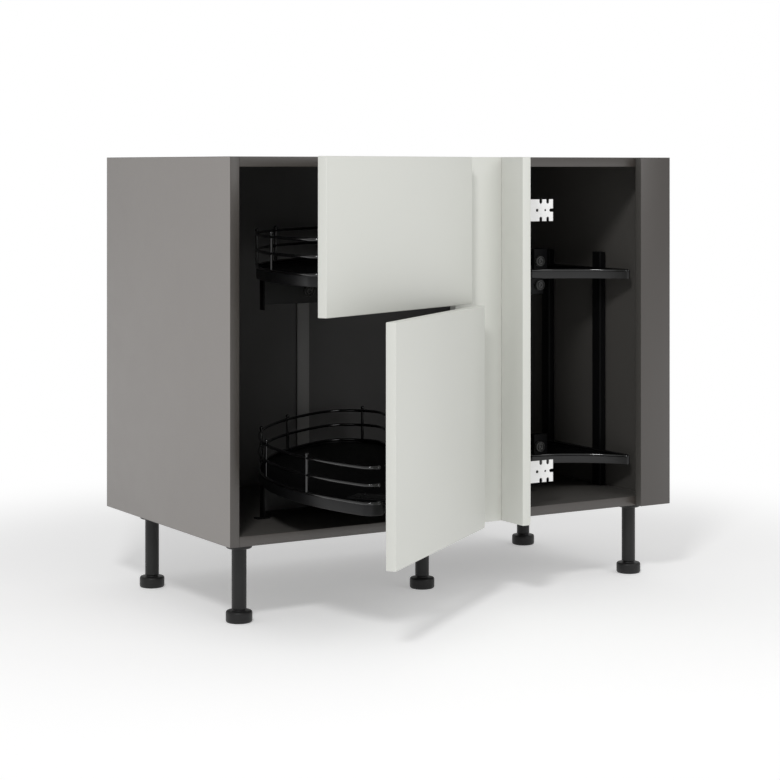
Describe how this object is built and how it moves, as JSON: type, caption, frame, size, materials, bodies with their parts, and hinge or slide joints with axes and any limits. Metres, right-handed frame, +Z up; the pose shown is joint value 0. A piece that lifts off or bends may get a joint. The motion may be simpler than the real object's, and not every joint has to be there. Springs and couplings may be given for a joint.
{
  "type": "corner carousel cabinet",
  "caption": "Corner base cabinet on legs with two half-moon trays that swing out on one pole, each with its own front, and fixed corner shelves in the blind side.",
  "frame": {"origin": "on the floor, at the middle of the front left foot's underside", "axes": "+X to the right along the front, +Y towards the wall behind, +Z up"},
  "size_m": [1.015, 0.917, 0.87],
  "materials": {
    "panel_board": "matt melamine, warm grey",
    "dark_board": "matt melamine, darker warm grey",
    "front_lacquer": "matt lacquer, pale warm grey",
    "tray_laminate": "black laminate, light sheen",
    "black_steel": "black powder coat, semi gloss",
    "white_steel": "white powder coat",
    "black_plastic": "moulded, fine grain"
  },
  "bodies": {
    "carcass": {"side_panel_left": "panel_board", "side_panel_right": "panel_board", "bottom_panel": "panel_board", "top_panel": "panel_board", "back_panel": "panel_board", "back_joint_strip": "dark_board", "right_filler": "dark_board", "corner_post_face": "front_lacquer", "corner_post_return": "front_lacquer", "corner_post_angles": "black_steel", "tie_plate_upper": "white_steel", "tie_plate_lower": "white_steel", "pivot_pole": "black_steel", "pole_foot_flange": "black_plastic", "pole_top_flange": "black_plastic", "upright_front": "black_steel", "upright_rear": "black_steel", "beam_lower": "black_steel", "beam_upper": "black_steel", "beam_foot_lower": "black_steel", "beam_end_upper": "black_steel", "beam_stay_lower": "black_steel", "beam_stay_upper": "black_steel", "glide_pads": "black_plastic", "corner_shelf_lower": "black_steel", "corner_shelf_upper": "black_steel", "corner_rim_lower": "black_steel", "corner_rim_upper": "black_steel", "clamp_blocks": "black_plastic", "clamp_bolts": "black_plastic", "leg_socket_front_left": "black_plastic", "leg_socket_front_middle": "black_plastic", "leg_socket_front_right": "black_plastic", "leg_socket_back_left": "black_plastic", "leg_socket_back_right": "black_plastic", "leg_tube_front_left": "black_plastic", "leg_tube_front_middle": "black_plastic", "leg_tube_front_right": "black_plastic", "leg_tube_back_left": "black_plastic", "leg_tube_back_right": "black_plastic"},
    "lower_carousel": {"front_lower": "front_lacquer", "front_brackets_lower": "black_steel", "hub_lower": "black_steel", "hub_bushes_lower": "black_plastic", "tray_board_lower": "tray_laminate", "tray_rim_lower": "black_steel", "tray_railing_lower": "black_steel"},
    "upper_carousel": {"front_upper": "front_lacquer", "front_brackets_upper": "black_steel", "hub_upper": "black_steel", "hub_bushes_upper": "black_plastic", "tray_board_upper": "tray_laminate", "tray_rim_upper": "black_steel", "tray_railing_upper": "black_steel"},
    "foot_front_left_body": {"foot_front_left": "black_plastic"},
    "foot_front_middle_body": {"foot_front_middle": "black_plastic"},
    "foot_front_right_body": {"foot_front_right": "black_plastic"},
    "foot_back_left_body": {"foot_back_left": "black_plastic"},
    "foot_back_right_body": {"foot_back_right": "black_plastic"}
  },
  "joints": [
    {"name": "lower_swing", "type": "hinge", "parent": "carcass", "child": "lower_carousel", "pos_m": [0.526, -0.04, 0], "axis": [0, 0, 1], "range_deg": [-37, 39]},
    {"name": "upper_swing", "type": "hinge", "parent": "carcass", "child": "upper_carousel", "pos_m": [0.526, -0.04, 0], "axis": [0, 0, 1], "range_deg": [-23.5, 52.5]},
    {"name": "front_left_foot_screw", "type": "slide", "parent": "carcass", "child": "foot_front_left_body", "axis": [0, 0, -1], "range_m": [0, 0.02]},
    {"name": "front_middle_foot_screw", "type": "slide", "parent": "carcass", "child": "foot_front_middle_body", "axis": [0, 0, -1], "range_m": [0, 0.02]},
    {"name": "front_right_foot_screw", "type": "slide", "parent": "carcass", "child": "foot_front_right_body", "axis": [0, 0, -1], "range_m": [0, 0.02]},
    {"name": "back_left_foot_screw", "type": "slide", "parent": "carcass", "child": "foot_back_left_body", "axis": [0, 0, -1], "range_m": [0, 0.02]},
    {"name": "back_right_foot_screw", "type": "slide", "parent": "carcass", "child": "foot_back_right_body", "axis": [0, 0, -1], "range_m": [0, 0.02]}
  ]
}
